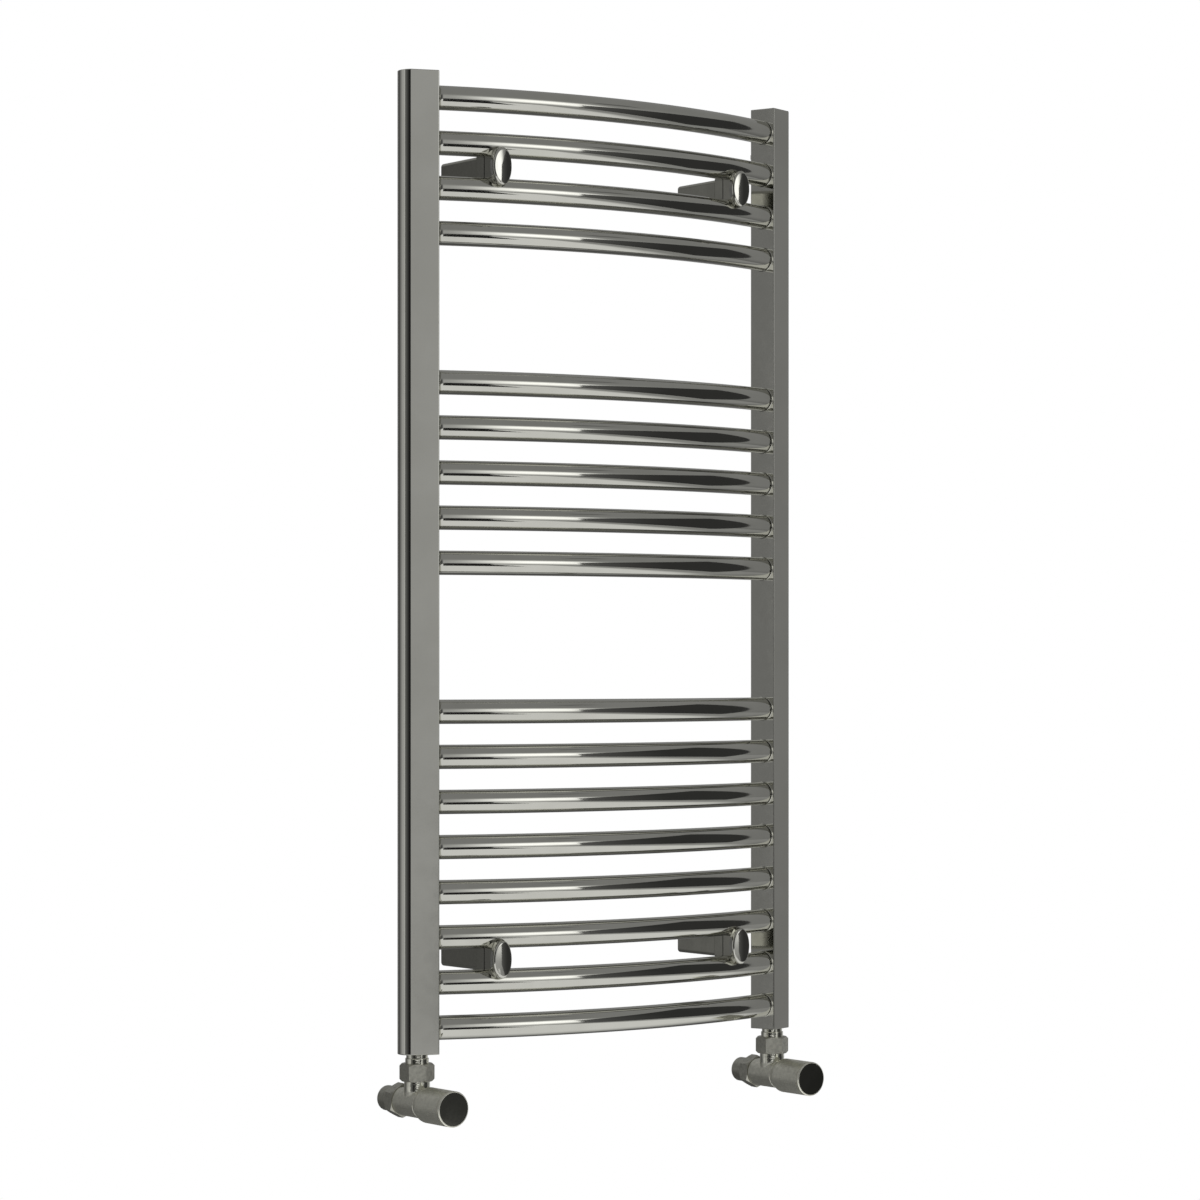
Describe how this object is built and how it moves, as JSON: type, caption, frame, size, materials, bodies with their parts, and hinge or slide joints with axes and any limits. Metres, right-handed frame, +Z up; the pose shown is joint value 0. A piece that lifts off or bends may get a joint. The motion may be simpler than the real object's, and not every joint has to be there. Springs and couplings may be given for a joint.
{
  "type": "towel radiator",
  "caption": "Wall-hung ladder towel radiator with bowed round rails between D-section posts, oval-capped clamp brackets and a pair of angled valves.",
  "frame": {"origin": "centre of the four wall-screw holes, on the wall plane", "axes": "+Z up, +Y into the wall, so -Y faces the room; +X to the right seen from the room"},
  "size_m": [0.5, 0.1251, 1.0682],
  "materials": {
    "black_rubber": "black sealing rubber",
    "bracket_chrome": "chrome plate on die-cast zinc",
    "brass": "turned brass",
    "cap_chrome": "chrome-plated plastic cap",
    "cast_zinc": "bare die-cast zinc",
    "disc_chrome": "flat chrome-plated disc",
    "grip_chrome": "chrome plate on turned brass",
    "nut_chrome": "chrome plate on turned brass",
    "post_chrome": "mirror-polished chrome plate on steel D-section tube",
    "rail_chrome": "mirror-polished chrome plate on steel tube",
    "screw_steel": "zinc-plated steel",
    "valve_chrome": "chrome plate on cast brass, fine orange-peel",
    "vent_chrome": "chrome-plated brass",
    "weld_chrome": "plated weld bead, slightly rippled"
  },
  "bodies": {
    "radiator": {"arm_grub_screws": "screw_steel", "bonnet_left": "brass", "bonnet_right": "brass", "bracket_arm_lower_left": "bracket_chrome", "bracket_arm_lower_right": "bracket_chrome", "bracket_arm_upper_left": "bracket_chrome", "bracket_arm_upper_right": "bracket_chrome", "bracket_caps": "cap_chrome", "bracket_saddles": "bracket_chrome", "clamp_jaws": "bracket_chrome", "clamp_screws": "screw_steel", "compression_nuts": "nut_chrome", "inlet_boss_left": "post_chrome", "inlet_boss_right": "post_chrome", "lock_cap_ring": "black_rubber", "olives": "brass", "post_left": "post_chrome", "post_right": "post_chrome", "post_top_plates": "post_chrome", "rail_01": "rail_chrome", "rail_02": "rail_chrome", "rail_03": "rail_chrome", "rail_04": "rail_chrome", "rail_05": "rail_chrome", "rail_06": "rail_chrome", "rail_07": "rail_chrome", "rail_08": "rail_chrome", "rail_09": "rail_chrome", "rail_10": "rail_chrome", "rail_11": "rail_chrome", "rail_12": "rail_chrome", "rail_13": "rail_chrome", "rail_14": "rail_chrome", "rail_15": "rail_chrome", "rail_16": "rail_chrome", "rail_17": "rail_chrome", "tailpiece_left": "valve_chrome", "tailpiece_right": "valve_chrome", "union_nuts": "nut_chrome", "union_washers": "black_rubber", "valve_body_left": "valve_chrome", "valve_body_right": "valve_chrome", "vent_body": "vent_chrome", "wall_bosses": "cast_zinc", "weld_beads": "weld_chrome"},
    "wheel_head": {"wheel_spindle": "brass", "wheel_spindle_seals": "black_rubber", "wheel_handle": "grip_chrome", "handle_screw": "screw_steel", "wheel_end_disc": "disc_chrome"},
    "wheel_valve_plunger": {"wheel_plunger": "brass", "wheel_washer": "black_rubber"},
    "lock_head": {"lock_spindle": "brass", "lock_spindle_seals": "black_rubber"},
    "lock_valve_plunger": {"lock_plunger": "brass", "lock_washer": "black_rubber"},
    "lock_cover": {"lock_cap": "grip_chrome", "lock_end_disc": "disc_chrome"},
    "bleed_screw": {"vent_screw": "vent_chrome"}
  },
  "joints": [
    {"name": "wheel_turn", "type": "hinge", "parent": "radiator", "child": "wheel_head", "pos_m": [-0.23022, -0.05729, -0.55], "axis": [0, -1, 0], "range_deg": [0, 900]},
    {"name": "wheel_lift", "type": "slide", "parent": "radiator", "child": "wheel_valve_plunger", "axis": [0, -1, 0], "range_m": [0, 0.005]},
    {"name": "lock_turn", "type": "hinge", "parent": "radiator", "child": "lock_head", "pos_m": [0.23022, -0.05729, -0.55], "axis": [0, -1, 0], "range_deg": [0, 900]},
    {"name": "lock_lift", "type": "slide", "parent": "radiator", "child": "lock_valve_plunger", "axis": [0, -1, 0], "range_m": [0, 0.005]},
    {"name": "lock_cover_pull", "type": "slide", "parent": "radiator", "child": "lock_cover", "axis": [0, -1, 0], "range_m": [0, 0.05]},
    {"name": "bleed_turn", "type": "hinge", "parent": "radiator", "child": "bleed_screw", "pos_m": [0.2233, -0.04383, 0.451], "axis": [-0.3355, 0.9421, 0], "range_deg": [0, 360]}
  ],
  "couplings": [
    {"joint": "wheel_lift", "follows": "wheel_turn", "m_per_rad": 0.000318},
    {"joint": "lock_lift", "follows": "lock_turn", "m_per_rad": 0.000318}
  ]
}
